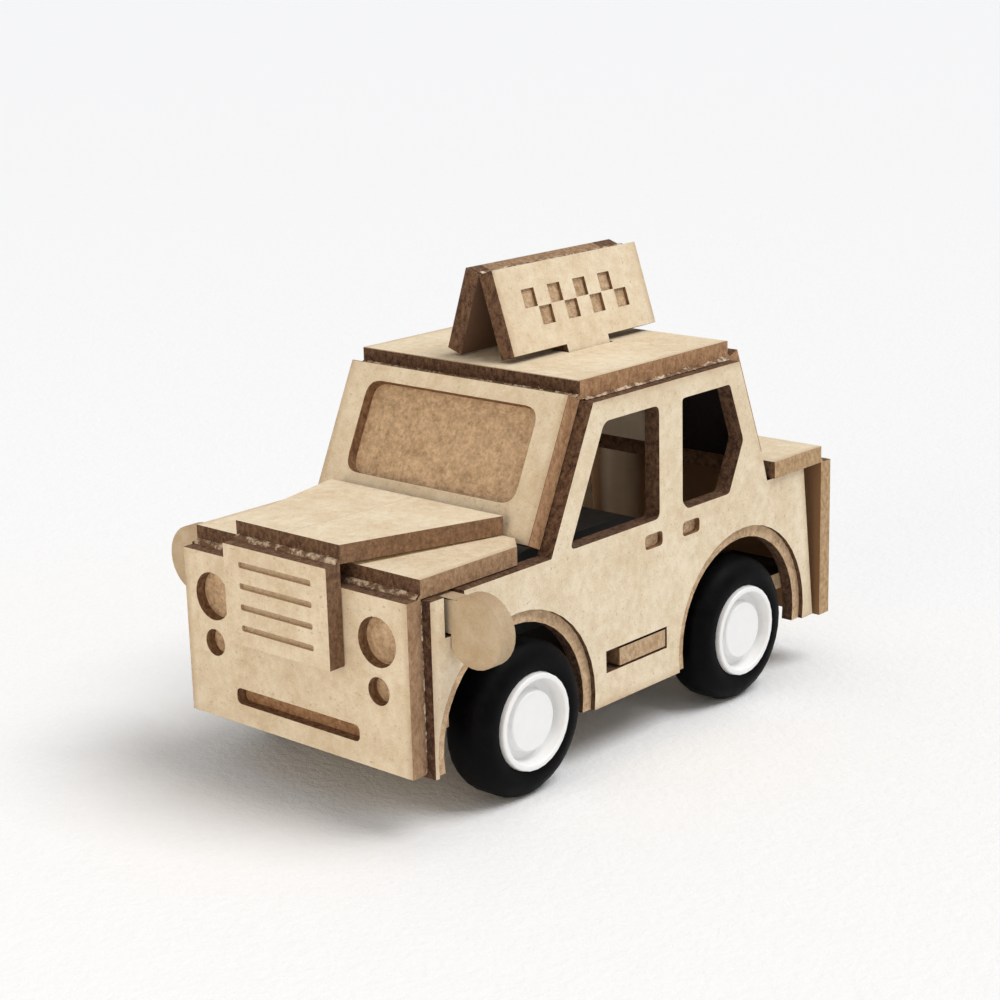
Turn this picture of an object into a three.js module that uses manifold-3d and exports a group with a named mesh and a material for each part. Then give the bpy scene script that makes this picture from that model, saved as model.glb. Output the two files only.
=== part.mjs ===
// Cardboard pull-back toy car in millimetres, standing on the ground at Z 0.
// +Z is up, the nose points to -Y, and the car's left side is at +X.
import * as THREE from "three";
import { mergeVertices } from "three/addons/utils/BufferGeometryUtils.js";
import Module from "manifold-3d";

const wasm = await Module();
wasm.setup();

// Card and fits
const CARD = 2; // thickness of the card
const GLUE_GAP = 0.15; // between card faces that are glued together
const SLOT_PLAY = 0.25; // round a tab in its slot
const SCORE_WEB = 0.5; // uncut layer left on the inside of a scored fold
const ENGRAVED = 1.2; // depth of the lamps, the bumper line and the screens
const BAND_DEPTH = 0.55; // depth of the bands round the wheel arches
const HANDLE_DEPTH = 0.7; // depth of the door handles
const LINE_DEPTH = 0.4; // depth of the grille lines and of the sign's squares
const RUNNING_FIT = 0.06; // radial play of axles and gears in or on their bearings
const PRESS_GAP = 0.02; // radial gap drawn where a pin or an axle is pressed in

// Body of card
const BODY_WIDTH = 35.6; // over both side panels
const BODY_LENGTH = 74; // from the grille's front face to the tail's rear face
const SILL_Z = 6.1; // lower edge of the side panels
const WAIST_Z = 24.85; // upper edge of the side panels beside the bonnet
const ROOF_LINE_Z = 40.2; // upper edge of the side panels under the roof
const BOOT_LINE_Z = 25.05; // upper edge of the side panels under the boot lid
const A_FOOT_Y = -14.3; // windscreen pillar, at the waist
const A_TOP_Y = -7.1; // windscreen pillar, at the roof line
const C_TOP_Y = 19; // rear pillar, at the roof line
const C_KNEE_Y = 23.85; // rear pillar, at its knee above the boot
const C_KNEE_RISE = 2.45; // the knee above the boot line
const C_FOOT_Y = 24.6; // rear pillar, at the boot line
const REAR_GAP = 0.6; // between the foot of the side panels' rear edge and the tail panel
const REAR_LEAN = 2.25; // the top of the rear edge is this far in front of its foot

// Side panel details
const PILLAR_INSET = 2.9; // front window edge behind the windscreen pillar's edge, level
const WINDOW_HEADER = 2.35; // card left above the windows
const WINDOW_SILL = 0.25; // lower window edge above the waist
const FRONT_WINDOW_REAR_Y = 4.1;
const REAR_WINDOW_FRONT_Y = 8.3;
const REAR_WINDOW_KNEE_INSET = 2.75; // rear window's rearmost corner in front of the rear pillar's edge, level
const REAR_WINDOW_KNEE_RISE = 5.85; // that corner above the lower window edge
const REAR_WINDOW_FOOT_BACK = 2.7; // lower rear corner in front of the rearmost corner
const WINDOW_CORNER = 0.9;
const HANDLE_LENGTH = 3.1;
const HANDLE_HEIGHT = 1.65;
const HANDLE_DROP = 2.05; // handle's middle below the waist
const FRONT_HANDLE_Y = 3.05;
const REAR_HANDLE_Y = 9.85;
const ARCH_CLEARANCE = 2.5; // arch radius over tyre radius
const ARCH_BAND = 1.4; // width of the engraved band round an arch
const ARCH_DROP = 0.5; // arch centre below the axle
const FRONT_ARCH_SHIFT = -0.95; // arch centre from its axle, along Y
const REAR_ARCH_SHIFT = 1.5;

// Folded pieces
const ROOF_INSET = 1.7; // roof and screens are this much narrower than the body, each side
const SCREEN_FOOT_RISE = 0.65; // inner lower edge of the windscreen above the waist
const SCREEN_RECESS_WIDTH = 25.2;
const SCREEN_RECESS_HEADER = 1.9; // above the windscreen's recess, along the screen
const SCREEN_RECESS_FOOTER = 3.9; // below it
const REAR_RECESS_HEADER = 1.9; // above the rear screen's recess
const REAR_RECESS_FOOTER = 2.4;
const RECESS_CORNER = 2;
const NOSE_INSET = 1.1; // nose panel and wings narrower than the body, each side
const NOSE_FOOT_Z = 6.5;
const WING_CHAMFER = 2.2; // cut off the outer rear corners of the wings
const BONNET_FRONT_WIDTH = 15.4;
const BONNET_REAR_WIDTH = 25.8;
const BONNET_FRONT_LIFT = 0.5; // under the bonnet's front edge, above the wings
const GRILLE_HEIGHT = 10.8;
const GRILLE_LINES = 4;
const GRILLE_LINE_LENGTH = 10.8;
const GRILLE_LINE_WIDTH = 0.65;
const LAMP_OFFSET = 12.35; // lamp centres from the middle
const HEADLAMP_Z = 20.2;
const HEADLAMP_RADIUS = 2.65;
const SIDE_LAMP_Z = 15;
const SIDE_LAMP_RADIUS = 1.5;
const BUMPER_WIDTH = 18.6;
const BUMPER_HEIGHT = 1.8;
const BUMPER_Z = 9.7; // middle of the engraved bumper line
const TAIL_OVERHANG = 0.6; // boot lid and tail wider than the body, each side
const TAIL_FOOT_Z = 5.9;
const LID_FRONT_GAP = 0.7; // boot lid behind the foot of the rear pillar
const TAIL_LAMP_Z = 19;

// Mirror bar, floor and sign
const MIRROR_SETBACK = 2.85; // front face of the bar behind the nose panel
const MIRROR_SLOT_FRONT = 0.7; // play in front of the bar in the side panels' slots
const MIRROR_BAR_HEIGHT = 3.7;
const MIRROR_BAR_DROP = 0.25; // top of the bar below the waist
const MIRROR_RADIUS = 3.8;
const MIRROR_REACH = 3.2; // centre of a mirror outside the body
const MIRROR_DROP = 3.25; // centre of a mirror below the waist
const FLOOR_TAB_FRONT_Y = -3.2;
const FLOOR_TAB_REAR_Y = 5;
const FLOOR_SLOT_FRONT = 2.3; // play in front of the floor's tab
const AXLE_COVER = 0.7; // from the axle's upper side to the floor
const WHEEL_ROOM = 0.9; // from the tyre to the floor's edge
const SIGN_FRONT_Y = -4.85;
const SIGN_LENGTH = 25;
const SIGN_RISE = 10.05; // the sign's upper edge above the roof
const SIGN_PANEL = 9.7; // height of a sign panel along its slope, without the tab
const SIGN_ANGLE = 18.3; // lean of each panel, degrees
const SIGN_TAB_LENGTH = 7.3;
const SIGN_TAB_DEPTH = 1.4; // of the tab, below the roof's upper face
const SQUARE_SIZE = 2.2; // of the sign's checker
const SQUARE_COLUMNS = 8;

// Wheels
const TYRE_RADIUS = 8.5;
const TYRE_WIDTH = 6;
const TYRE_PROUD = 1.3; // tyre's outer face outside the body
const TYRE_SHOULDER = 1.7; // width of the rounded shoulder beside the tread
const RIM_PROUD = 0.25; // rim's lip outside the tyre's outer face
const RIM_RADIUS = 5.4;
const RIM_LIP = 0.9; // width of the lip
const RIM_SEAT_STEP = 0.4; // lip over the tyre's seat
const RIM_CUP = 1.6; // depth of the cup inside the lip
const RIM_WEB = 1; // thickness of the wheel's disc
const RIM_WALL = 0.8; // of the barrel under the tyre
const RIM_BACK_SINK = 0.4; // rim's back edge inside the tyre's
const HUB_TUBE_WALL = 1.4; // round the axle
const HUB_RADIUS = 3.4;
const HUB_SINK = 0.55; // hub's face behind the lip
const AXLE_DIAMETER = 1.6;
const FRONT_AXLE_Y = -18.9;
const REAR_AXLE_Y = 18.4;
const BRACKET_WIDTH = 18;
const BRACKET_LENGTH = 7;
const BRACKET_EAR = 2.6; // length of each bearing along the axle

// Pull-back motor
const GEAR_MODULE = 0.5;
const PRESSURE_ANGLE = 25;
const ADDENDUM = 0.8; // in modules
const DEDENDUM = 1.1; // in modules
const BACKLASH = 0.16; // at the pitch circle, per pair
const AXLE_TEETH = 10;
const IDLER_TEETH = 24;
const PINION_TEETH = 10; // of the idler's small pinion
const SPRING_TEETH = 26;
const IDLER_RISE = 30; // idler above the line forward of the rear axle, degrees
const GEAR_WIDTH = 1.8;
const LAYER_GAP = 0.6; // between the two layers of gears
const PIN_DIAMETER = 1.5;
const HUB_WALL = 0.7; // round a pin
const CASE_WALL = 1.2;
const CASE_ROOM = 0.5; // round the gears
const CASE_WIDTH = 11.2;
const CASE_CORNER = 2.4;
const PARTING_GAP = 0.1;
const END_PLAY = 0.3; // of a gear between the case walls
const LUG_WIDTH = 3.6;
const LUG_LENGTH = 10;
const LUG_HEIGHT = 1.3;
const SPRING_STRIP = 0.28; // thickness of the mainspring
const SPRING_TURNS = 4.75;
const SPRING_REACH = 5.6; // radius of its outer turn
const SPRING_POST = 0.7; // radius of the post at its outer end

// Levels and stations that follow from the sizes above
const halfBody = BODY_WIDTH / 2;
const innerSide = halfBody - CARD;
const axleZ = TYRE_RADIUS;
const axleRadius = AXLE_DIAMETER / 2;
const grilleY = -BODY_LENGTH / 2;
const tailY = BODY_LENGTH / 2;
const noseFaceY = grilleY + CARD + GLUE_GAP;
const noseBackY = noseFaceY + CARD;
const sideFrontY = noseBackY + GLUE_GAP;
const mirrorY = noseBackY + MIRROR_SETBACK;
const tailFrontY = tailY - CARD;
const wingZ = WAIST_Z + GLUE_GAP;
const lidZ = BOOT_LINE_Z + GLUE_GAP;
const roofZ = ROOF_LINE_Z + GLUE_GAP;
const floorZ = axleZ + axleRadius + AXLE_COVER;
const tyreFaceX = halfBody + TYRE_PROUD;
const tyreBackX = tyreFaceX - TYRE_WIDTH;
const rimFaceX = tyreFaceX + RIM_PROUD;
const archRadius = TYRE_RADIUS + ARCH_CLEARANCE;
const archZ = axleZ - ARCH_DROP;
const frontArchY = FRONT_AXLE_Y + FRONT_ARCH_SHIFT;
const rearArchY = REAR_AXLE_Y + REAR_ARCH_SHIFT;

// Helpers

// A three.js geometry as a solid for the booleans.
function solid(geometry) {
  const bare = geometry.clone();
  bare.deleteAttribute("normal");
  bare.deleteAttribute("uv");
  const merged = mergeVertices(bare, 1e-5);
  const index = merged.index.array;
  const kept = [];
  for (let i = 0; i < index.length; i += 3) {
    const [a, b, c] = [index[i], index[i + 1], index[i + 2]];
    if (a !== b && b !== c && c !== a) kept.push(a, b, c);
  }
  const vertProperties = new Float32Array(merged.attributes.position.array);
  return new wasm.Manifold(new wasm.Mesh({ numProp: 3, vertProperties, triVerts: new Uint32Array(kept) }));
}

// A shape drawn on the plane of two directions and extruded along their cross product, between two depths.
function prismOn(shape, origin, across, up, from, to) {
  const out = across.clone().cross(up);
  const settings = { depth: to - from, bevelEnabled: false, curveSegments: 5 };
  const geometry = new THREE.ExtrudeGeometry(shape, settings);
  geometry.translate(0, 0, from);
  geometry.applyMatrix4(new THREE.Matrix4().makeBasis(across, up, out).setPosition(origin));
  return solid(geometry);
}

const ORIGIN = new THREE.Vector3(0, 0, 0);
const ALONG_X = new THREE.Vector3(1, 0, 0);
const ALONG_Y = new THREE.Vector3(0, 1, 0);
const ALONG_Z = new THREE.Vector3(0, 0, 1);

// Prisms along the three axes: the shapes are drawn in (Y, Z), (X, Z) and (X, Y).
const prismX = (shape, x0, x1) => prismOn(shape, ORIGIN, ALONG_Y, ALONG_Z, Math.min(x0, x1), Math.max(x0, x1));
const prismY = (shape, y0, y1) => prismOn(shape, ORIGIN, ALONG_X, ALONG_Z, -y1, -y0);
const prismZ = (shape, z0, z1) => prismOn(shape, ORIGIN, ALONG_X, ALONG_Y, z0, z1);

function box(x0, x1, y0, y1, z0, z1) {
  const geometry = new THREE.BoxGeometry(Math.abs(x1 - x0), y1 - y0, z1 - z0);
  geometry.translate((x0 + x1) / 2, (y0 + y1) / 2, (z0 + z1) / 2);
  return solid(geometry);
}

// A round rod along X.
function rodX(radius, x0, x1, y, z, segments = 24) {
  const geometry = new THREE.CylinderGeometry(radius, radius, Math.abs(x1 - x0), segments);
  geometry.rotateZ(-Math.PI / 2);
  geometry.translate((x0 + x1) / 2, y, z);
  return solid(geometry);
}

// A profile of [radius, x] points turned round the line through (y, z) along X.
// Side -1 mirrors it to the car's right.
function turnedX(profile, side, y, z, segments) {
  const points = profile.map(([r, x]) => new THREE.Vector2(r, side * x));
  if (side < 0) points.reverse();
  const geometry = new THREE.LatheGeometry(points, segments);
  geometry.rotateZ(-Math.PI / 2);
  geometry.translate(0, y, z);
  return solid(geometry);
}

const polygon = (points) => new THREE.Shape(points.map(([u, v]) => new THREE.Vector2(u, v)));

// A polygon with its corners rounded off over the given distance.
function rounded(points, radius) {
  const corners = points.map(([u, v]) => new THREE.Vector2(u, v));
  const shape = new THREE.Shape();
  corners.forEach((corner, i) => {
    const before = corners[(i + corners.length - 1) % corners.length];
    const after = corners[(i + 1) % corners.length];
    const start = corner.clone().add(before.clone().sub(corner).setLength(radius));
    const end = corner.clone().add(after.clone().sub(corner).setLength(radius));
    if (i === 0) shape.moveTo(start.x, start.y);
    else shape.lineTo(start.x, start.y);
    shape.quadraticCurveTo(corner.x, corner.y, end.x, end.y);
  });
  shape.closePath();
  return shape;
}

const rectangle = (u, v, width, height) => [
  [u - width / 2, v - height / 2],
  [u + width / 2, v - height / 2],
  [u + width / 2, v + height / 2],
  [u - width / 2, v + height / 2],
];

function disc(u, v, radius, segments = 24) {
  const points = [];
  for (let i = 0; i < segments; i++) {
    const a = (i / segments) * 2 * Math.PI;
    points.push([u + radius * Math.cos(a), v + radius * Math.sin(a)]);
  }
  return polygon(points);
}

// Outer edge of a scored fold: from the inner corner each panel keeps a straight cut wall along its normal,
// and a thin web is left between the two walls.
function foldWalls(corner, n1, n2) {
  const at = (n, distance) => [corner[0] + n[0] * distance, corner[1] + n[1] * distance];
  return [at(n1, CARD), at(n1, SCORE_WEB), at(n2, SCORE_WEB), at(n2, CARD)];
}

const CARD_FACE = { color: 0xd9bd92, roughness: 0.9, metalness: 0 };
const STEEL = { color: 0xb4b4b0, roughness: 0.35, metalness: 1 };
const WHITE_PLASTIC = { color: 0xf0f0ee, roughness: 0.45, metalness: 0 };
const BLACK_PLASTIC = { color: 0x1d1c1c, roughness: 0.5, metalness: 0 };
const GEAR_PLASTIC = { color: 0xd8d4c8, roughness: 0.5, metalness: 0 };
const RUBBER = { color: 0x17171a, roughness: 0.8, metalness: 0 };

const car = new THREE.Group();
car.name = "cardboard_pullback_car";

// Adds a finished solid to the car as a named mesh.
function add(name, made, look) {
  const source = made.getMesh();
  const geometry = new THREE.BufferGeometry();
  const positions = new Float32Array(source.numVert * 3);
  for (let i = 0; i < source.numVert; i++) {
    const start = i * source.numProp;
    positions.set(source.vertProperties.subarray(start, start + 3), i * 3);
  }
  geometry.setAttribute("position", new THREE.BufferAttribute(positions, 3));
  geometry.setIndex(new THREE.BufferAttribute(new Uint32Array(source.triVerts), 1));
  geometry.computeVertexNormals();
  const mesh = new THREE.Mesh(geometry, new THREE.MeshStandardMaterial(look));
  mesh.name = name;
  car.add(mesh);
}

// Side panels
const cKneeZ = BOOT_LINE_Z + C_KNEE_RISE;
const aPillarY = (z) => A_FOOT_Y + ((z - WAIST_Z) / (ROOF_LINE_Z - WAIST_Z)) * (A_TOP_Y - A_FOOT_Y);
const cPillarY = (z) => C_TOP_Y + ((ROOF_LINE_Z - z) / (ROOF_LINE_Z - cKneeZ)) * (C_KNEE_Y - C_TOP_Y);
const rearFootY = tailFrontY - REAR_GAP;
const mirrorTopZ = WAIST_Z - MIRROR_BAR_DROP;
const mirrorBarZ = mirrorTopZ - MIRROR_BAR_HEIGHT;

function sidePanel(side) {
  const inner = side * innerSide;
  const outer = side * halfBody;
  const beyond = side * (halfBody + 1);
  const within = side * (innerSide - 1);
  const outline = polygon([
    [sideFrontY, SILL_Z],
    [rearFootY, SILL_Z],
    [rearFootY - REAR_LEAN, BOOT_LINE_Z],
    [C_FOOT_Y, BOOT_LINE_Z],
    [C_KNEE_Y, cKneeZ],
    [C_TOP_Y, ROOF_LINE_Z],
    [A_TOP_Y, ROOF_LINE_Z],
    [A_FOOT_Y, WAIST_Z],
    [sideFrontY, WAIST_Z],
  ]);
  let panel = prismX(outline, inner, outer);

  // Bands engraved round the wheel arches, then the arches themselves
  const bandFloor = side * (halfBody - BAND_DEPTH);
  for (const y of [frontArchY, rearArchY]) {
    panel = panel.subtract(rodX(archRadius + ARCH_BAND, bandFloor, beyond, y, archZ, 40));
    panel = panel.subtract(rodX(archRadius, within, beyond, y, archZ, 40));
  }

  // Windows
  const top = ROOF_LINE_Z - WINDOW_HEADER;
  const bottom = WAIST_Z + WINDOW_SILL;
  const frontWindow = rounded(
    [
      [aPillarY(bottom) + PILLAR_INSET, bottom],
      [FRONT_WINDOW_REAR_Y, bottom],
      [FRONT_WINDOW_REAR_Y, top],
      [aPillarY(top) + PILLAR_INSET, top],
    ],
    WINDOW_CORNER,
  );
  const kneeZ = bottom + REAR_WINDOW_KNEE_RISE;
  const kneeY = cPillarY(kneeZ) - REAR_WINDOW_KNEE_INSET;
  const rearWindow = rounded(
    [
      [REAR_WINDOW_FRONT_Y + WINDOW_CORNER, bottom],
      [kneeY - REAR_WINDOW_FOOT_BACK, bottom],
      [kneeY, kneeZ],
      [cPillarY(top) - REAR_WINDOW_KNEE_INSET, top],
      [REAR_WINDOW_FRONT_Y, top],
      [REAR_WINDOW_FRONT_Y, bottom + WINDOW_CORNER],
    ],
    WINDOW_CORNER / 2,
  );
  panel = panel.subtract(prismX(frontWindow, within, beyond));
  panel = panel.subtract(prismX(rearWindow, within, beyond));

  // Door handles
  for (const y of [FRONT_HANDLE_Y, REAR_HANDLE_Y]) {
    const plate = rectangle(y, WAIST_Z - HANDLE_DROP, HANDLE_LENGTH, HANDLE_HEIGHT);
    const handle = rounded(plate, HANDLE_HEIGHT / 3);
    panel = panel.subtract(prismX(handle, side * (halfBody - HANDLE_DEPTH), beyond));
  }

  // Slots for the floor's tab and the mirror bar
  const slotFrontY = FLOOR_TAB_FRONT_Y - FLOOR_SLOT_FRONT;
  const slotRearY = FLOOR_TAB_REAR_Y + SLOT_PLAY;
  const slotZ = [floorZ - SLOT_PLAY, floorZ + CARD + SLOT_PLAY];
  panel = panel.subtract(box(within, beyond, slotFrontY, slotRearY, ...slotZ));
  const notchFrontY = mirrorY - MIRROR_SLOT_FRONT;
  const notchRearY = mirrorY + CARD + SLOT_PLAY;
  return panel.subtract(box(within, beyond, notchFrontY, notchRearY, mirrorBarZ - SLOT_PLAY, WAIST_Z + 1));
}

add("left_side_panel", sidePanel(1), CARD_FACE);
add("right_side_panel", sidePanel(-1), CARD_FACE);

// Roof with windscreen and rear screen, one scored strip that lies on the pillars and the roof line
const screenLean = Math.atan2(A_TOP_Y - A_FOOT_Y, ROOF_LINE_Z - WAIST_Z);
const rearLean = Math.atan2(C_KNEE_Y - C_TOP_Y, ROOF_LINE_Z - cKneeZ);
const screenNormal = [-Math.cos(screenLean), Math.sin(screenLean)];
const rearNormal = [Math.cos(rearLean), Math.sin(rearLean)];
const screenInnerY = (z) => aPillarY(z) - GLUE_GAP / Math.cos(screenLean);
const rearInnerY = (z) => cPillarY(z) + GLUE_GAP / Math.cos(rearLean);
const screenFootZ = WAIST_Z + SCREEN_FOOT_RISE;
const rearScreenFootZ = lidZ + CARD + GLUE_GAP;
const screenFoot = [screenInnerY(screenFootZ), screenFootZ];
const rearFoot = [rearInnerY(rearScreenFootZ), rearScreenFootZ];
const roofFront = [screenInnerY(roofZ), roofZ];
const roofRear = [rearInnerY(roofZ), roofZ];
const outwards = (point, normal) => [point[0] + normal[0] * CARD, point[1] + normal[1] * CARD];
const roofHalf = halfBody - ROOF_INSET;
const stripProfile = polygon([
  rearFoot,
  outwards(rearFoot, rearNormal),
  ...foldWalls(roofRear, rearNormal, [0, 1]),
  ...foldWalls(roofFront, [0, 1], screenNormal),
  outwards(screenFoot, screenNormal),
  screenFoot,
  roofFront,
  roofRear,
]);

// The sign's panels lean together from this inner ridge, and their tabs stand in slots of the roof.
const signLean = THREE.MathUtils.degToRad(SIGN_ANGLE);
const roofTopZ = roofZ + CARD;
const signRidgeZ = roofTopZ + SIGN_RISE - CARD * Math.sin(signLean);
const signMiddleY = SIGN_FRONT_Y + SIGN_LENGTH / 2;
const tabFrontY = signMiddleY - SIGN_TAB_LENGTH / 2;
const tabRearY = signMiddleY + SIGN_TAB_LENGTH / 2;

// One sign panel's cross-section in (X, Z) between two levels, grown on both faces by the play.
function signSection(side, lowerZ, upperZ, play) {
  const slope = Math.tan(signLean);
  const innerX = (z) => (signRidgeZ - z) * slope - play / Math.cos(signLean);
  const outerX = (z) => (signRidgeZ - z) * slope + (CARD + play) / Math.cos(signLean);
  return polygon([
    [side * innerX(lowerZ), lowerZ],
    [side * outerX(lowerZ), lowerZ],
    [side * outerX(upperZ), upperZ],
    [side * innerX(upperZ), upperZ],
  ]);
}

let roofStrip = prismX(stripProfile, -roofHalf, roofHalf);
for (const side of [1, -1]) {
  const slot = signSection(side, roofZ - 1, roofTopZ + 1, SLOT_PLAY);
  roofStrip = roofStrip.subtract(prismY(slot, tabFrontY - SLOT_PLAY, tabRearY + SLOT_PLAY));
}

// Recess engraved in a screen: drawn on the outer face, measured up the slope from the foot.
function screenRecess(foot, top, normal, across, header, footer) {
  const up = new THREE.Vector3(0, top[0] - foot[0], top[1] - foot[1]);
  const height = up.length() - header - footer;
  const shape = rounded(rectangle(0, footer + height / 2, SCREEN_RECESS_WIDTH, height), RECESS_CORNER);
  const face = outwards(foot, normal);
  const origin = new THREE.Vector3(0, face[0], face[1]);
  return prismOn(shape, origin, across, up.normalize(), -ENGRAVED, 1);
}

const acrossBack = new THREE.Vector3(-1, 0, 0);
const frontRecess = [SCREEN_RECESS_HEADER, SCREEN_RECESS_FOOTER];
const rearRecess = [REAR_RECESS_HEADER, REAR_RECESS_FOOTER];
roofStrip = roofStrip.subtract(screenRecess(screenFoot, roofFront, screenNormal, ALONG_X, ...frontRecess));
roofStrip = roofStrip.subtract(screenRecess(rearFoot, roofRear, rearNormal, acrossBack, ...rearRecess));
add("roof_and_screens", roofStrip, CARD_FACE);

// Roof sign
const signFoldNormal = (side) => [side * Math.cos(signLean), Math.sin(signLean)];
const signDown = (side) => [side * Math.sin(signLean), -Math.cos(signLean)];
const along = (point, direction, distance) => [
  point[0] + direction[0] * distance,
  point[1] + direction[1] * distance,
];
const ridge = [0, signRidgeZ];
const signProfile = polygon([
  ridge,
  along(ridge, signDown(-1), SIGN_PANEL),
  along(outwards(ridge, signFoldNormal(-1)), signDown(-1), SIGN_PANEL),
  ...foldWalls(ridge, signFoldNormal(-1), signFoldNormal(1)),
  along(outwards(ridge, signFoldNormal(1)), signDown(1), SIGN_PANEL),
  along(ridge, signDown(1), SIGN_PANEL),
]);
let sign = prismY(signProfile, SIGN_FRONT_Y, SIGN_FRONT_Y + SIGN_LENGTH);
for (const side of [1, -1]) {
  const tab = signSection(side, roofTopZ - SIGN_TAB_DEPTH, signRidgeZ - SIGN_PANEL / 2, 0);
  sign = sign.add(prismY(tab, tabFrontY, tabRearY));
  // Checker of engraved squares on each panel
  const across = new THREE.Vector3(0, side, 0);
  const down = signDown(side);
  const up = new THREE.Vector3(-down[0], 0, -down[1]);
  const middle = along(outwards(ridge, signFoldNormal(side)), down, SIGN_PANEL / 2);
  const origin = new THREE.Vector3(middle[0], signMiddleY, middle[1]);
  for (let column = 0; column < SQUARE_COLUMNS; column++) {
    const u = (column - (SQUARE_COLUMNS - 1) / 2) * SQUARE_SIZE;
    const v = (column % 2 === 0 ? 1 : -1) * (SQUARE_SIZE / 2);
    const size = SQUARE_SIZE - 0.1;
    sign = sign.subtract(prismOn(polygon(rectangle(u, v, size, size)), origin, across, up, -LINE_DEPTH, 1));
  }
}
add("roof_sign", sign, CARD_FACE);

// Nose panel with the wings folded back over the side panels
const screenFrontY = outwards(screenFoot, screenNormal)[0];
const wingRearY = screenFrontY - SLOT_PLAY;
const noseHalf = halfBody - NOSE_INSET;
const noseProfile = polygon([
  [noseBackY, NOSE_FOOT_Z],
  [noseBackY, wingZ],
  [wingRearY, wingZ],
  [wingRearY, wingZ + CARD],
  ...foldWalls([noseBackY, wingZ], [0, 1], [-1, 0]),
  [noseFaceY, NOSE_FOOT_Z],
]);
const wingPlan = polygon([
  [-noseHalf, noseFaceY - 1],
  [noseHalf, noseFaceY - 1],
  [noseHalf, wingRearY - WING_CHAMFER],
  [noseHalf - WING_CHAMFER, wingRearY],
  [-noseHalf + WING_CHAMFER, wingRearY],
  [-noseHalf, wingRearY - WING_CHAMFER],
]);
let nose = prismX(noseProfile, -noseHalf, noseHalf);
nose = nose.intersect(prismZ(wingPlan, NOSE_FOOT_Z - 1, wingZ + CARD + 1));
const noseRecesses = [rounded(rectangle(0, BUMPER_Z, BUMPER_WIDTH, BUMPER_HEIGHT), BUMPER_HEIGHT / 2.5)];
for (const side of [1, -1]) {
  noseRecesses.push(disc(side * LAMP_OFFSET, HEADLAMP_Z, HEADLAMP_RADIUS, 28));
  noseRecesses.push(disc(side * LAMP_OFFSET, SIDE_LAMP_Z, SIDE_LAMP_RADIUS, 20));
}
for (const shape of noseRecesses) {
  nose = nose.subtract(prismY(shape, noseFaceY - 1, noseFaceY + ENGRAVED));
}
add("nose_and_wings", nose, CARD_FACE);

// Bonnet with the grille folded down in front of the nose
const bonnetRearZ = wingZ + CARD + GLUE_GAP;
const bonnetFrontZ = wingZ + CARD + BONNET_FRONT_LIFT;
const bonnetRearY = wingRearY;
const grilleBackY = grilleY + CARD;
const bonnetProfile = polygon([
  [grilleBackY, bonnetFrontZ - GRILLE_HEIGHT],
  [grilleBackY, bonnetFrontZ],
  [bonnetRearY, bonnetRearZ],
  [bonnetRearY, bonnetRearZ + CARD],
  ...foldWalls([grilleBackY, bonnetFrontZ], [0, 1], [-1, 0]),
  [grilleY, bonnetFrontZ - GRILLE_HEIGHT],
]);
const bonnetPlan = polygon([
  [-BONNET_FRONT_WIDTH / 2, grilleY - 1],
  [BONNET_FRONT_WIDTH / 2, grilleY - 1],
  [BONNET_FRONT_WIDTH / 2, grilleBackY],
  [BONNET_REAR_WIDTH / 2, bonnetRearY],
  [-BONNET_REAR_WIDTH / 2, bonnetRearY],
  [-BONNET_FRONT_WIDTH / 2, grilleBackY],
]);
let bonnet = prismX(bonnetProfile, -BONNET_REAR_WIDTH / 2, BONNET_REAR_WIDTH / 2);
bonnet = bonnet.intersect(prismZ(bonnetPlan, NOSE_FOOT_Z, roofZ));
for (let line = 0; line < GRILLE_LINES; line++) {
  const z = bonnetFrontZ - GRILLE_HEIGHT + ((line + 0.85) * GRILLE_HEIGHT) / (GRILLE_LINES + 0.7);
  const shape = rounded(rectangle(0, z, GRILLE_LINE_LENGTH, GRILLE_LINE_WIDTH), GRILLE_LINE_WIDTH / 2.5);
  bonnet = bonnet.subtract(prismY(shape, grilleY - 1, grilleY + LINE_DEPTH));
}
add("bonnet_and_grille", bonnet, CARD_FACE);

// Boot lid with the tail panel folded down behind the side panels
const tailHalf = halfBody + TAIL_OVERHANG;
const lidFrontY = C_FOOT_Y + LID_FRONT_GAP;
const bootProfile = polygon([
  [lidFrontY, lidZ],
  [tailFrontY, lidZ],
  [tailFrontY, TAIL_FOOT_Z],
  [tailY, TAIL_FOOT_Z],
  ...foldWalls([tailFrontY, lidZ], [1, 0], [0, 1]),
  [lidFrontY, lidZ + CARD],
]);
let boot = prismX(bootProfile, -tailHalf, tailHalf);
for (const side of [1, -1]) {
  const lamp = disc(side * LAMP_OFFSET, TAIL_LAMP_Z, HEADLAMP_RADIUS, 28);
  boot = boot.subtract(prismY(lamp, tailY - ENGRAVED, tailY + 1));
}
add("boot_and_tail", boot, CARD_FACE);

// Mirror bar through the side panels, with a round mirror at each end
const mirrorX = halfBody + MIRROR_REACH;
const mirrorZ = WAIST_Z - MIRROR_DROP;
const mirrorRearY = mirrorY + CARD;
const clearSide = halfBody + GLUE_GAP;
let mirrors = box(-mirrorX, mirrorX, mirrorY, mirrorRearY, mirrorBarZ, mirrorTopZ);
for (const side of [1, -1]) {
  const ear = prismY(disc(side * mirrorX, mirrorZ, MIRROR_RADIUS, 30), mirrorY, mirrorRearY);
  const low = mirrorZ - 2 * MIRROR_RADIUS;
  const high = mirrorZ + 2 * MIRROR_RADIUS;
  const body = box(-clearSide, clearSide, mirrorY - CARD, mirrorRearY + CARD, low, high);
  mirrors = mirrors.add(ear.subtract(body));
}
add("mirror_bar", mirrors, CARD_FACE);

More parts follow.
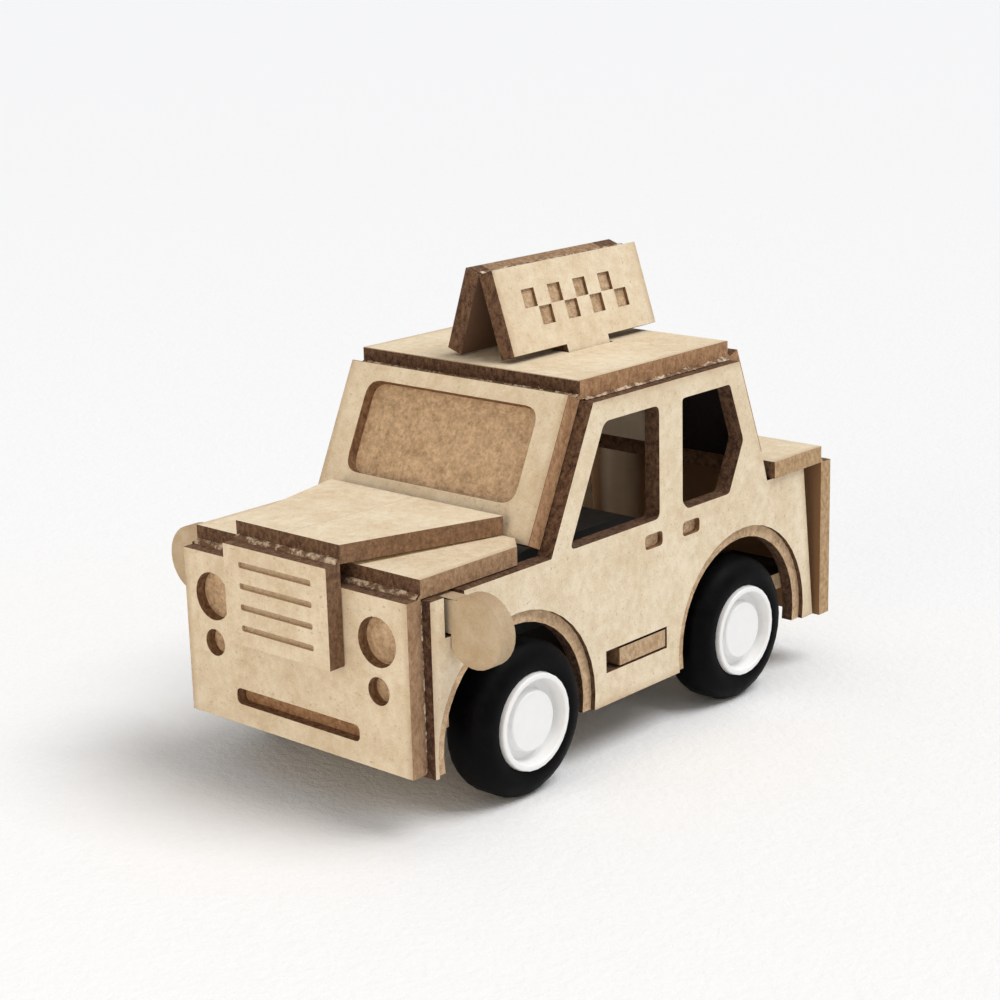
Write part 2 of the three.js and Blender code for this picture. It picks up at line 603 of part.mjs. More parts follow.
// Motor layout in (Y, Z): the idler is up and forward of the rear axle, and the spring gear is level with it
const pitchRadius = (teeth) => (GEAR_MODULE * teeth) / 2;
const tipRadius = (teeth) => pitchRadius(teeth) + ADDENDUM * GEAR_MODULE;
const rise = THREE.MathUtils.degToRad(IDLER_RISE);
const idlerSpan = pitchRadius(AXLE_TEETH) + pitchRadius(IDLER_TEETH);
const springSpan = pitchRadius(PINION_TEETH) + pitchRadius(SPRING_TEETH);
const idlerY = REAR_AXLE_Y - idlerSpan * Math.cos(rise);
const idlerZ = axleZ + idlerSpan * Math.sin(rise);
const springY = idlerY - springSpan;
const springZ = idlerZ;
const caseHalf = CASE_WIDTH / 2;
const caseInner = caseHalf - CASE_WALL;
const pinRadius = PIN_DIAMETER / 2;
const gearHub = pinRadius + HUB_WALL;
const idlerX0 = -caseInner + 3 * END_PLAY;
const idlerX1 = idlerX0 + GEAR_WIDTH;
const springX0 = idlerX1 + LAYER_GAP;
const springX1 = springX0 + GEAR_WIDTH;

// Outline of the motor case's cavity in (Y, Z), grown by a wall.
function caseOutline(wall, corner) {
  const room = CASE_ROOM + wall;
  const front = springY - tipRadius(SPRING_TEETH) - room;
  const rear = REAR_AXLE_Y + tipRadius(AXLE_TEETH) + room;
  const bottom = Math.min(axleZ - tipRadius(AXLE_TEETH), springZ - tipRadius(SPRING_TEETH)) - room;
  const top = springZ + Math.max(tipRadius(SPRING_TEETH), tipRadius(IDLER_TEETH)) + room;
  const facing = Math.PI / 4;
  const idlerReach = idlerY * Math.cos(facing) + idlerZ * Math.sin(facing) + tipRadius(IDLER_TEETH);
  const reach = idlerReach + CASE_ROOM + room;
  const slopeFoot = (reach - rear * Math.cos(facing)) / Math.sin(facing);
  const slopeTop = (reach - top * Math.sin(facing)) / Math.cos(facing);
  const points = [
    [front, bottom],
    [rear, bottom],
    [rear, slopeFoot],
    [slopeTop, top],
    [front, top],
  ];
  return { shape: rounded(points, corner), front, rear };
}

const caseOuter = caseOutline(CASE_WALL, CASE_CORNER);
const caseCavity = caseOutline(0, CASE_CORNER - CASE_WALL);

// Floor panel: tabs in the sill slots, cut away for the wheels and the motor
const floorHalf = innerSide - GLUE_GAP;
const floorWaist = tyreBackX - WHEEL_ROOM;
const wheelReach = TYRE_RADIUS + WHEEL_ROOM;
const floorFrontY = noseBackY + GLUE_GAP;
const floorRearY = tailFrontY - GLUE_GAP;
let floor = box(-floorHalf, floorHalf, floorFrontY, floorRearY, floorZ, floorZ + CARD);
floor = floor.add(box(-halfBody, halfBody, FLOOR_TAB_FRONT_Y, FLOOR_TAB_REAR_Y, floorZ, floorZ + CARD));
for (const side of [1, -1]) {
  for (const y of [FRONT_AXLE_Y, REAR_AXLE_Y]) {
    const start = side * floorWaist;
    floor = floor.subtract(
      box(start, side * BODY_WIDTH, y - wheelReach, y + wheelReach, floorZ - 1, floorZ + CARD + 1),
    );
  }
}
const motorHole = [caseOuter.front - SLOT_PLAY, caseOuter.rear + SLOT_PLAY];
const holeHalf = caseHalf + SLOT_PLAY;
floor = floor.subtract(box(-holeHalf, holeHalf, ...motorHole, floorZ - 1, floorZ + CARD + 1));
add("floor_panel", floor, CARD_FACE);

// Front axle bracket: two bearings joined by side bars, under the floor
const bracketTop = floorZ - GLUE_GAP;
const bracketFoot = axleZ - (bracketTop - axleZ);
const bracketHalf = BRACKET_WIDTH / 2;
const bracketReach = BRACKET_LENGTH / 2;
const bearingRadius = axleRadius + RUNNING_FIT;
let bracket = box(
  -bracketHalf,
  bracketHalf,
  FRONT_AXLE_Y - bracketReach,
  FRONT_AXLE_Y + bracketReach,
  bracketFoot,
  bracketTop,
);
const openHalf = bracketHalf - BRACKET_EAR;
const openReach = bracketReach / 2;
bracket = bracket.subtract(
  box(-openHalf, openHalf, FRONT_AXLE_Y - openReach, FRONT_AXLE_Y + openReach, bracketFoot - 1, bracketTop + 1),
);
bracket = bracket.subtract(rodX(bearingRadius, -bracketHalf - 1, bracketHalf + 1, FRONT_AXLE_Y, axleZ));
add("front_axle_bracket", bracket, BLACK_PLASTIC);

// Wheels and axles
const rimSeat = RIM_RADIUS - RIM_SEAT_STEP;
const lipBackX = tyreFaceX - RIM_CUP / 2;
const cupX = rimFaceX - RIM_CUP;
const discBackX = cupX - RIM_WEB;
const hubX = rimFaceX - HUB_SINK;
const hubTube = axleRadius + HUB_TUBE_WALL;
const rimBore = axleRadius + PRESS_GAP;
const barrel = rimSeat - RIM_WALL;
const rimBackX = tyreBackX + RIM_BACK_SINK;
const boreEndX = discBackX + RIM_WEB / 2;
const axleHalf = boreEndX - PRESS_GAP * 5;
const lipInner = RIM_RADIUS - RIM_LIP;
const rimProfile = [
  [0, boreEndX],
  [rimBore, boreEndX],
  [rimBore, rimBackX],
  [hubTube, rimBackX],
  [hubTube, discBackX],
  [barrel, discBackX],
  [barrel, rimBackX],
  [rimSeat, rimBackX],
  [rimSeat, lipBackX],
  [RIM_RADIUS, lipBackX],
  [RIM_RADIUS - 0.15, rimFaceX],
  [lipInner + 0.15, rimFaceX],
  [lipInner - 0.15, cupX],
  [HUB_RADIUS, cupX],
  [HUB_RADIUS - 0.15, hubX],
  [0, hubX],
];
const tyreBore = rimSeat + PRESS_GAP;
const lipBore = RIM_RADIUS + PRESS_GAP;
const stepX = lipBackX - PRESS_GAP;
const tyreMiddleX = (tyreFaceX + tyreBackX) / 2;
const sideRise = TYRE_RADIUS - RIM_RADIUS;
const outerTyre = [
  [lipBore, tyreFaceX - 0.25],
  [RIM_RADIUS + 0.2 * sideRise, tyreFaceX],
  [RIM_RADIUS + 0.5 * sideRise, tyreFaceX - 0.1],
  [RIM_RADIUS + 0.75 * sideRise, tyreFaceX - 0.3 * TYRE_SHOULDER],
  [RIM_RADIUS + 0.92 * sideRise, tyreFaceX - 0.62 * TYRE_SHOULDER],
  [TYRE_RADIUS, tyreFaceX - TYRE_SHOULDER],
];
const innerTyre = outerTyre.slice(4).map(([r, x]) => [r, 2 * tyreMiddleX - x]);
const tyreProfile = [
  [tyreBore, tyreBackX],
  ...[[RIM_RADIUS + 0.5 * sideRise, tyreBackX], ...innerTyre],
  ...outerTyre.reverse(),
  [lipBore, stepX],
  [tyreBore, stepX],
  [tyreBore, tyreBackX],
];
const WHEELS = [
  ["front_left", 1, FRONT_AXLE_Y],
  ["front_right", -1, FRONT_AXLE_Y],
  ["rear_left", 1, REAR_AXLE_Y],
  ["rear_right", -1, REAR_AXLE_Y],
];
for (const [place, side, y] of WHEELS) {
  add("rim_" + place, turnedX(rimProfile, side, y, axleZ, 28), WHITE_PLASTIC);
  add("tyre_" + place, turnedX(tyreProfile, side, y, axleZ, 32), RUBBER);
}
add("front_axle", rodX(axleRadius, -axleHalf, axleHalf, FRONT_AXLE_Y, axleZ), STEEL);
add("rear_axle", rodX(axleRadius, -axleHalf, axleHalf, REAR_AXLE_Y, axleZ), STEEL);

// Gears: involute teeth with a little backlash. turn is the angle of one tooth's middle, from +Y towards +Z.
function gearShape(teeth, turn, y, z) {
  const pitch = pitchRadius(teeth);
  const base = pitch * Math.cos(THREE.MathUtils.degToRad(PRESSURE_ANGLE));
  const tip = tipRadius(teeth);
  const root = pitch - DEDENDUM * GEAR_MODULE;
  const involute = (r) => {
    const pressure = Math.acos(Math.min(1, base / r));
    return Math.tan(pressure) - pressure;
  };
  const halfTooth = Math.PI / (2 * teeth) - BACKLASH / (4 * pitch) + involute(pitch);
  const flankStart = Math.max(base, root);
  const flank = [flankStart, pitch, tip];
  const points = [];
  for (let tooth = 0; tooth < teeth; tooth++) {
    const middle = turn + (tooth / teeth) * 2 * Math.PI;
    const put = (r, a) => points.push([y + r * Math.cos(a), z + r * Math.sin(a)]);
    if (root < base) put(root, middle - halfTooth);
    for (const r of flank) put(r, middle - halfTooth + involute(r));
    for (const r of [...flank].reverse()) put(r, middle + halfTooth - involute(r));
    if (root < base) put(root, middle + halfTooth);
  }
  return polygon(points);
}

// The teeth that meet on each line of centres: a tooth of one gear stands in a space of the other.
const toIdler = Math.PI - rise;
const toSpring = Math.PI;
const axleTurn = toIdler;
const idlerTurn = toIdler + Math.PI + Math.PI / IDLER_TEETH;
const pinionTurn = toSpring;
const springTurn = toSpring + Math.PI + Math.PI / SPRING_TEETH;
const gearBore = pinRadius + RUNNING_FIT;
const hubEnd = caseInner - END_PLAY;

const axlePinionShape = gearShape(AXLE_TEETH, axleTurn, REAR_AXLE_Y, axleZ);
let axlePinion = prismX(axlePinionShape, idlerX0 - END_PLAY, idlerX1 + END_PLAY);
axlePinion = axlePinion.subtract(rodX(rimBore, -CASE_WIDTH, CASE_WIDTH, REAR_AXLE_Y, axleZ));
add("axle_pinion", axlePinion, GEAR_PLASTIC);

let idler = prismX(gearShape(IDLER_TEETH, idlerTurn, idlerY, idlerZ), idlerX0, idlerX1);
const idlerPinionShape = gearShape(PINION_TEETH, pinionTurn, idlerY, idlerZ);
idler = idler.add(prismX(idlerPinionShape, idlerX1 - LAYER_GAP / 3, springX1 + END_PLAY));
idler = idler.add(rodX(gearHub, -hubEnd, hubEnd, idlerY, idlerZ));
idler = idler.subtract(rodX(gearBore, -CASE_WIDTH, CASE_WIDTH, idlerY, idlerZ));
add("idler_gear", idler, GEAR_PLASTIC);

const springHub = gearHub + HUB_WALL / 2;
let springGear = prismX(gearShape(SPRING_TEETH, springTurn, springY, springZ), springX0, springX1);
springGear = springGear.add(rodX(gearHub, -hubEnd, springX0 + LAYER_GAP / 3, springY, springZ));
springGear = springGear.add(rodX(springHub, springX1 - LAYER_GAP / 3, hubEnd, springY, springZ));
springGear = springGear.subtract(rodX(gearBore, -CASE_WIDTH, CASE_WIDTH, springY, springZ));
add("spring_gear", springGear, GEAR_PLASTIC);

// Mainspring: a flat strip wound round the spring gear's hub, from the hub out to the post in the case
const springStart = springHub + GLUE_GAP + SPRING_STRIP / 2;
const springSweep = SPRING_TURNS * 2 * Math.PI;
const springSteps = Math.round(SPRING_TURNS * 16);
function spiral(offset) {
  const points = [];
  for (let step = 0; step <= springSteps; step++) {
    const part = step / springSteps;
    const r = springStart + (SPRING_REACH - springStart) * part + offset;
    const a = springSweep * part;
    points.push([springY + r * Math.cos(a), springZ + r * Math.sin(a)]);
  }
  return points;
}
const springShape = polygon([...spiral(SPRING_STRIP / 2), ...spiral(-SPRING_STRIP / 2).reverse()]);
const springBack = springX1 + END_PLAY;
const springFront = caseInner - 2 * END_PLAY;
add("mainspring", prismX(springShape, springBack, springFront), STEEL);

// Motor case in two halves, with lugs that lie on the floor
function caseHalfSolid(side) {
  const parting = (side * PARTING_GAP) / 2;
  let half = prismX(caseOuter.shape, parting, side * caseHalf);
  half = half.subtract(prismX(caseCavity.shape, parting - side, side * caseInner));
  const lugFoot = floorZ + CARD + GLUE_GAP;
  const lugStart = side * (caseHalf - CASE_WALL / 2);
  const lugEnd = side * (caseHalf + LUG_WIDTH);
  const lugFrontY = springY - LUG_LENGTH / 4;
  half = half.add(box(lugStart, lugEnd, lugFrontY, lugFrontY + LUG_LENGTH, lugFoot, lugFoot + LUG_HEIGHT));
  if (side > 0) {
    const reach = SPRING_REACH + SPRING_STRIP / 2 + GLUE_GAP + SPRING_POST;
    const postY = springY + reach * Math.cos(springSweep);
    const postZ = springZ + reach * Math.sin(springSweep);
    half = half.add(rodX(SPRING_POST, springBack + END_PLAY, caseInner + CASE_WALL / 2, postY, postZ, 16));
  }
  const through = side * (caseHalf + 1);
  half = half.subtract(rodX(bearingRadius, 0, through, REAR_AXLE_Y, axleZ));
  const socket = side * (caseInner + CASE_WALL / 2);
  half = half.subtract(rodX(pinRadius + PRESS_GAP, 0, socket, idlerY, idlerZ));
  return half.subtract(rodX(pinRadius + PRESS_GAP, 0, socket, springY, springZ));
}
add("motor_case_left", caseHalfSolid(1), BLACK_PLASTIC);
add("motor_case_right", caseHalfSolid(-1), BLACK_PLASTIC);
const pinHalf = caseInner + CASE_WALL / 2 - PRESS_GAP;
add("idler_pin", rodX(pinRadius, -pinHalf, pinHalf, idlerY, idlerZ), STEEL);
add("spring_pin", rodX(pinRadius, -pinHalf, pinHalf, springY, springZ), STEEL);

export default car;
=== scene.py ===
"""Looks of a laser-cut cardboard toy car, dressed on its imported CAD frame."""

import math
import random
from dataclasses import dataclass, replace

import bpy
from mathutils import Matrix, Vector, noise


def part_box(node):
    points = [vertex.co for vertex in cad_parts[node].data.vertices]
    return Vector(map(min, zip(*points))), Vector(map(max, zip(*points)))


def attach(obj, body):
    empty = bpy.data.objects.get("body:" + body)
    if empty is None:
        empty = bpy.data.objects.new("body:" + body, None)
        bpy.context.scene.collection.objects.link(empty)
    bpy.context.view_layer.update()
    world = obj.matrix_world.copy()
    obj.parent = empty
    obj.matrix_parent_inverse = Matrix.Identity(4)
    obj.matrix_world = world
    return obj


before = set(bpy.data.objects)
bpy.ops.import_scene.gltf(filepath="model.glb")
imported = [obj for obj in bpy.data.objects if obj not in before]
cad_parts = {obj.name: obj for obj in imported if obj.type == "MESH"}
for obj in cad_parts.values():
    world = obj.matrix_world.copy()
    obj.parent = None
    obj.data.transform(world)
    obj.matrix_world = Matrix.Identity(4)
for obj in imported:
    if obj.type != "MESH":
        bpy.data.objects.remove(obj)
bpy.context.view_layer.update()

MM = 0.001  # places and lengths below are in millimetres, and are multiplied by this for Blender

# The card, as the CAD model has it
CARD = 2.0  # thickness
SCORE_WEB = 0.5  # uncut layer inside a scored fold
SIGN_LEAN = math.radians(18.3)  # of the roof sign's two panels, from upright
CAR_MIDDLE = Vector((0, 2, 22))

# CAD nodes by material, apart from those of card
RIMS = ("rim_front_left", "rim_front_right", "rim_rear_left", "rim_rear_right")
TYRES = ("tyre_front_left", "tyre_front_right", "tyre_rear_left", "tyre_rear_right")
STEEL_NODES = ("front_axle", "rear_axle", "idler_pin", "spring_pin", "mainspring")
BLACK_NODES = ("motor_case_left", "motor_case_right", "front_axle_bracket")
GEARS = ("axle_pinion", "idler_gear", "spring_gear")

# Edges
SHARP_ANGLE = math.radians(35)  # an edge that bends more stays sharp, or is bevelled
JOIN_DISTANCE = 0.002
CARD_BEVEL = 0.06
RIM_BEVEL = 0.12
BEVEL_SEGMENTS = 2

# How the faces, engraved floors and cut edges of the card are told apart
LEAST_FACE = 30  # area of a card face, mm2
LEAST_BORDER = 3  # area of a straight cut edge, mm2
OPPOSITE = -0.999  # cosine between the normals of a card's two faces, at most
ACROSS = 0.99  # cosine between the normals of a cut edge and a card face, at most
CARD_SLACK = 0.1
BORDER_SLACK = 0.05
FACING = 0.995  # cosine between a card face's normal and that of a point on it, at least
SKIN_DEPTH = 0.12  # how deep a card face's softened rim goes
FLOOR_DEPTH = CARD - 0.2  # no engraved floor is deeper
SIDEWAYS = 0.8  # least x of the normal of a cut edge that faces sideways
UPWARD = 0.8  # least z of the normal of a face that looks up

# Marks on the card's faces, and the reach of painted shade
SCORCH_WIDTH = 0.9  # of the scorched band beside a cut edge
CREASE_FADE = (0.05, 0.2)  # distances from the middle between which a crease line fades
# painted shade: the gap before the tail is shaded dark between these distances from the middle
DARK_ENDS = (14.5, 16.0)  # distances from the middle between which the gap before the tail turns dark
MIDDLE = (0.35, 0.65)  # where most values of a noise lie

# Colours of the card, linear RGB; a pair is a dark and a light one
FACE_PALE = (0.86, 0.745, 0.56)
FACE_TAN = (0.69, 0.54, 0.355)
# the mirror bar's faces: the card's face colours made darker throughout
MIRROR_FACES = ((0.50, 0.36, 0.215), (0.62, 0.50, 0.345))
FLECK = (0.42, 0.28, 0.16)
SCORCH = (0.46, 0.30, 0.17)
RECESS_LIGHT = (0.94, 0.675, 0.425)
RECESS_DARK = (0.52, 0.335, 0.19)
EDGE_TAN = (0.37, 0.215, 0.115)
EDGE_BURNT = (0.06, 0.027, 0.018)
FIBRE_WHITE = (0.74, 0.60, 0.44)
FIBRE_BROWN = (0.20, 0.11, 0.06)
WALL_TINT = ((0.15, 0.075, 0.04), (0.36, 0.21, 0.11))
RIDGE_TINT = ((0.25, 0.14, 0.075), (0.46, 0.30, 0.18))
BUMPER_TINT = ((0.36, 0.175, 0.085), (0.64, 0.38, 0.20))
GRILLE_WALL_TINT = ((0.58, 0.42, 0.26), (0.70, 0.54, 0.36))
GRILLE_FLOOR_TINT = ((0.62, 0.46, 0.29), (0.78, 0.62, 0.43))
ROOF_SIDE_TINT = ((0.31, 0.16, 0.08), (0.51, 0.30, 0.16))
NOSE_SIDE_TINT = ((0.30, 0.17, 0.09), (0.48, 0.31, 0.185))
TAIL_SIDE_TINT = ((0.38, 0.235, 0.12), (0.58, 0.40, 0.23))
FLOOR_SIDE_TINT = ((0.42, 0.27, 0.15), (0.62, 0.45, 0.28))
# Painted shade on the faces that look into the car: its lightest and deepest colours, and the browns of
# the gap before the tail, the sign's inside and the left panel's inside
LEAST_SHADE = (0.88, 0.72, 0.53)
DEEPEST_SHADE = (0.016, 0.011, 0.009)
TAIL_SHADE_BROWN = (0.30, 0.16, 0.075)
SIGN_SHADE_BROWN = (0.20, 0.115, 0.07)
PANEL_SHADE_BROWN = (0.34, 0.22, 0.135)

# Colours of the rest, dark and light, linear RGB
RUBBER = ((0.0012, 0.0012, 0.0016), (0.004, 0.004, 0.0045))
STEEL = ((0.42, 0.42, 0.41), (0.62, 0.62, 0.60))
WHITE_PLASTIC = ((0.88, 0.88, 0.875), (0.90, 0.90, 0.895))
BLACK_PLASTIC = ((0.045, 0.045, 0.045), (0.06, 0.06, 0.06))
GEAR_PLASTIC = ((0.56, 0.53, 0.46), (0.66, 0.63, 0.55))
PAPER = ((0.925, 0.93, 0.939), (0.955, 0.96, 0.969))

# Boxes round parts of the card that have a look of their own: lowest and highest corner
PANEL_FRONT = ((-20, -40, 5), (20, -32.4, 26))
HANDLES = ((-20, 0.5, 21.4), (20, 12.4, 24.4))
WINDSCREEN = ((-15, -30, 25), (15, 10, 39.9))
REAR_SCREEN = ((-15, 10, 28), (15, 40, 39.9))
REAR_SCREEN_FOOT = ((-20, 15, 25), (20, 40, 28))
ROOF_RIM = ((-20, -30, 40.36), (20, 40, 45))
SIGN_SQUARES = ((-12, -3, 44), (12, 18, 50.4))
SIGN_RIDGE = ((-4, -2.4, 50.6), (4, 17, 54))
NOSE_PANEL = ((-16.4, -40, 7), (16.4, -33, 24.3))
BUMPER = ((-12, -40, 7), (12, -30, 12))
GRILLE = ((-7, -40, 17), (7, -36.3, 27))
BONNET_SIDES = ((-20, -34.9, 25), (20, -10, 30))
TAIL_PANEL = ((-16, 30, 14), (16, 38, 23.5))

# Torn fibres: a lumpy ridge with loose tufts
FOLD_STRIP = (0.8, 0.75)  # width and height of a strip
NOSE_STRIP = (0.45, 0.4)
ROOF_STRIP = (0.9, 0.8)
SIGN_STRIP = (0.9, 0.42)
FOLD_SEAT = 0.6 * SCORE_WEB  # how far above a fold's inner corner its strip sits
SIGN_SEAT = 0.3 * SCORE_WEB
END_GAP = 0.1  # between a strip's end and the card's
NOSE_SET_BACK = 0.05
NOSE_FOOT_GAP = 0.2
NOSE_HEAD_GAP = 0.3
ROOF_OVERHANG = 0.1
ROOF_SINK = 0.1
ROOF_END_GAP = 0.4
FRONT_SLACK = 0.1  # how near a piece's front or top its vertices count as on it
TOP_SLACK = 0.01
RIDGE_STEP = 0.22
RIDGE_LANES = 5
RIDGE_BASE = 0.05  # least height, as a share of the strip's
RIDGE_RISE = 0.8  # height that lumps add, as a share of the strip's
LUMPS = 1.7  # for each mm
LANE_SHIFT = 0.9  # between the lumps of two lanes
TUFTS = 3.2  # for each mm
TUFT_JOINTS = 3
TUFT_SPREAD = 0.4  # share of the strip's width on either side of its middle
TUFT_RISE = (0.25, 1.0)
TUFT_SWEEP = 1.3
TUFT_SWAY = 0.5
TUFT_REACH = (0.5, 1.15)  # share of the strip's height
TUFT_BREADTH = (0.03, 0.075)
TUFT_BEND = 0.5
TUFT_TAPER = 0.8  # share of its breadth that a tuft loses towards its tip

# Light: an even white surround, a broad window light over the car's left shoulder, a warm fill in front
SKY = 0.50
WINDOW_POWER = 1.8
WINDOW_SPREAD = math.radians(36)
WINDOW_WAY = Vector((-0.42, -0.28, -0.86))
FILL_PLACE = Vector((50, -600, 160))
FILL_TARGET = Vector((0, 0, 20))
FILL_SIZE = 400
FILL_POWER = 0.8
FILL_COLOUR = (1, 0.76, 0.48)
FLOOR_HALF = 4000

# Camera, fitted to the photograph
CAMERA_AZIMUTH = math.radians(42.097)  # from the nose towards the car's left side
CAMERA_ELEVATION = math.radians(15.208)
CAMERA_ROLL = math.radians(-1.505)
CAMERA_DISTANCE = 245.75
CAMERA_TARGET = Vector((0, -2.35, 25.73))
CAMERA_SENSOR = 36
CAMERA_LENS = 78.13
CAMERA_CLIP = 10


@dataclass(frozen=True)
class PaintedShade:
    """Painted shade on the faces that look into the car, from light to dark between two places along X.
    """

    light: tuple
    dark: tuple
    start: float = 0.0
    stop: float = 1.0
    # painted shade also dark between the distances DARK_ENDS from the middle
    dark_ends: bool = False


# Painted shade inside the car: darker towards the car's left side (+X), an even brown inside the left
# panel and the sign, and brown in the gap before the tail
CABIN_SHADE = PaintedShade(LEAST_SHADE, DEEPEST_SHADE, start=0.0, stop=6.0)
PANEL_SHADE = PaintedShade(PANEL_SHADE_BROWN, PANEL_SHADE_BROWN)
SIGN_SHADE = PaintedShade(SIGN_SHADE_BROWN, SIGN_SHADE_BROWN)
TAIL_SHADE = PaintedShade(LEAST_SHADE, TAIL_SHADE_BROWN, start=-12.0, stop=-9.0, dark_ends=True)


@dataclass(frozen=True)
class Look:
    """How one piece of card is coloured."""

    char: float  # how burnt the cut edges are, from 0 to 1
    side_char: float = 0.0  # the same for cut edges that face sideways
    char_boxes: tuple = ()  # (box, char) where the cut edges differ
    side_tint: tuple = None  # colours of cut edges that face sideways
    pale: float = 0.0  # how much the cut edges take the colour of the faces
    engraved: tuple = ()  # (box, colours) where the cut edges are walls of an engraving
    tinted: tuple = ()  # (box, colours) where the engraved floors differ
    faces: tuple = (FACE_TAN, FACE_PALE)
    # painted shade on the faces that look into the car
    painted_shade: PaintedShade = None
    crease: bool = False  # a faint crease line along the middle of the top
    bevel: float = CARD_BEVEL


SIDE_LOOK = Look(
    char=0.75,
    side_char=0.5,
    char_boxes=((PANEL_FRONT, 0.9),),
    engraved=((HANDLES, WALL_TINT),),
    painted_shade=CABIN_SHADE,
)
CARD_LOOKS = {
    "left_side_panel": replace(SIDE_LOOK, painted_shade=PANEL_SHADE),
    "right_side_panel": SIDE_LOOK,
    "roof_and_screens": Look(
        char=0.8,
        char_boxes=((ROOF_RIM, 0.75), (REAR_SCREEN_FOOT, 0.1)),
        side_tint=ROOF_SIDE_TINT,
        engraved=((WINDSCREEN, WALL_TINT), (REAR_SCREEN, WALL_TINT)),
        painted_shade=CABIN_SHADE,
    ),
    "roof_sign": Look(
        char=0.7,
        side_char=0.55,
        engraved=((SIGN_SQUARES, WALL_TINT), (SIGN_RIDGE, RIDGE_TINT)),
        painted_shade=SIGN_SHADE,
    ),
    "nose_and_wings": Look(
        char=0.7,
        side_tint=NOSE_SIDE_TINT,
        engraved=((NOSE_PANEL, WALL_TINT),),
        tinted=((BUMPER, BUMPER_TINT),),
    ),
    "bonnet_and_grille": Look(
        char=0.65,
        side_char=0.55,
        char_boxes=((BONNET_SIDES, 0.4),),
        engraved=((GRILLE, GRILLE_WALL_TINT),),
        tinted=((GRILLE, GRILLE_FLOOR_TINT),),
        crease=True,
    ),
    "boot_and_tail": Look(
        char=0.6,
        side_tint=TAIL_SIDE_TINT,
        engraved=((TAIL_PANEL, WALL_TINT),),
        painted_shade=TAIL_SHADE,
        bevel=None,
    ),
    "mirror_bar": Look(char=0.1, pale=0.8, faces=MIRROR_FACES),
    "floor_panel": Look(char=0.4, side_tint=FLOOR_SIDE_TINT, painted_shade=CABIN_SHADE),
}


class Shader:
    """One node material, with short names for the nodes that the looks below need."""

    def __init__(self, name):
        self.material = bpy.data.materials.new(name)
        self.material.use_nodes = True
        self.tree = self.material.node_tree
        self.tree.nodes.clear()
        output = self.add("ShaderNodeOutputMaterial")
        self.surface = self.add("ShaderNodeBsdfPrincipled")
        self.put(output.inputs["Surface"], self.surface.outputs[0])
        place = self.add("ShaderNodeTexCoord")
        scale = self.add("ShaderNodeVectorMath", operation="SCALE")
        self.put(scale.inputs[0], place.outputs["Object"])
        self.put(scale.inputs["Scale"], 1 / MM)
        self.place = scale.outputs[0]
        self.normal = self.add("ShaderNodeNewGeometry").outputs["True Normal"]

    def add(self, kind, **settings):
        node = self.tree.nodes.new(kind)
        for name, value in settings.items():
            setattr(node, name, value)
        return node

    def put(self, socket, value):
        """Links a socket to another, or sets it to a number, a vector or a colour."""
        if isinstance(value, bpy.types.NodeSocket):
            self.tree.links.new(value, socket)
        elif isinstance(value, tuple) and len(value) == 3 and socket.type == "RGBA":
            socket.default_value = (*value, 1)
        else:
            socket.default_value = value

    def set(self, **values):
        """Sets inputs of the surface: base_color, roughness and so on."""
        for name, value in values.items():
            title = name.replace("_", " ").title().replace("Ior", "IOR")
            self.put(self.surface.inputs[title], value)

    def math(self, operation, *values):
        node = self.add("ShaderNodeMath", operation=operation)
        for socket, value in zip(node.inputs, values):
            self.put(socket, value)
        return node.outputs[0]

    def dot(self, a, b):
        node = self.add("ShaderNodeVectorMath", operation="DOT_PRODUCT")
        self.put(node.inputs[0], a)
        self.put(node.inputs[1], b)
        return node.outputs["Value"]

    def axes(self, vector):
        """A vector's x, y and z."""
        node = self.add("ShaderNodeSeparateXYZ")
        self.put(node.inputs[0], vector)
        return node.outputs

    def stretched(self, x, y, z):
        """The place in mm, each axis multiplied."""
        node = self.add("ShaderNodeVectorMath", operation="MULTIPLY")
        self.put(node.inputs[0], self.place)
        self.put(node.inputs[1], (x, y, z))
        return node.outputs[0]

    def noise(self, scale, detail=2.0, rough=0.5, place=None):
        node = self.add("ShaderNodeTexNoise")
        self.put(node.inputs["Vector"], place or self.place)
        self.put(node.inputs["Scale"], scale)
        self.put(node.inputs["Detail"], detail)
        self.put(node.inputs["Roughness"], rough)
        return node.outputs["Fac"]

    def span(self, value, low, high, to_low=0.0, to_high=1.0):
        """The value between low and high, moved to between to_low and to_high."""
        node = self.add("ShaderNodeMapRange")
        for socket, number in zip(node.inputs, (value, low, high, to_low, to_high)):
            self.put(socket, number)
        return node.outputs[0]

    def mix(self, factor, a, b):
        """Two colours mixed."""
        node = self.add("ShaderNodeMix", data_type="RGBA")
        self.put(node.inputs["Factor"], factor)
        self.put(node.inputs[6], a)
        self.put(node.inputs[7], b)
        return node.outputs[2]

    def blend(self, factor, a, b):
        """Two numbers mixed."""
        node = self.add("ShaderNodeMix", data_type="FLOAT")
        self.put(node.inputs["Factor"], factor)
        self.put(node.inputs[2], a)
        self.put(node.inputs[3], b)
        return node.outputs[0]

    def between(self, value, low, high):
        """1 where the value is between low and high, 0 elsewhere."""
        above = self.math("GREATER_THAN", value, low)
        return self.math("MULTIPLY", above, self.math("LESS_THAN", value, high))

    def inside(self, box):
        """1 inside a box, 0 outside."""
        in_x, in_y, in_z = (self.between(*axis) for axis in zip(self.axes(self.place), *box))
        return self.math("MULTIPLY", self.math("MULTIPLY", in_x, in_y), in_z)

    def depth(self, normal, offset):
        """How far below a plane the place is, in mm."""
        return self.math("SUBTRACT", offset, self.dot(self.place, tuple(normal)))

    def bump(self, height, strength, distance):
        node = self.add("ShaderNodeBump")
        self.put(node.inputs["Height"], height)
        self.put(node.inputs["Strength"], strength)
        self.put(node.inputs["Distance"], distance * MM)
        self.put(self.surface.inputs["Normal"], node.outputs[0])


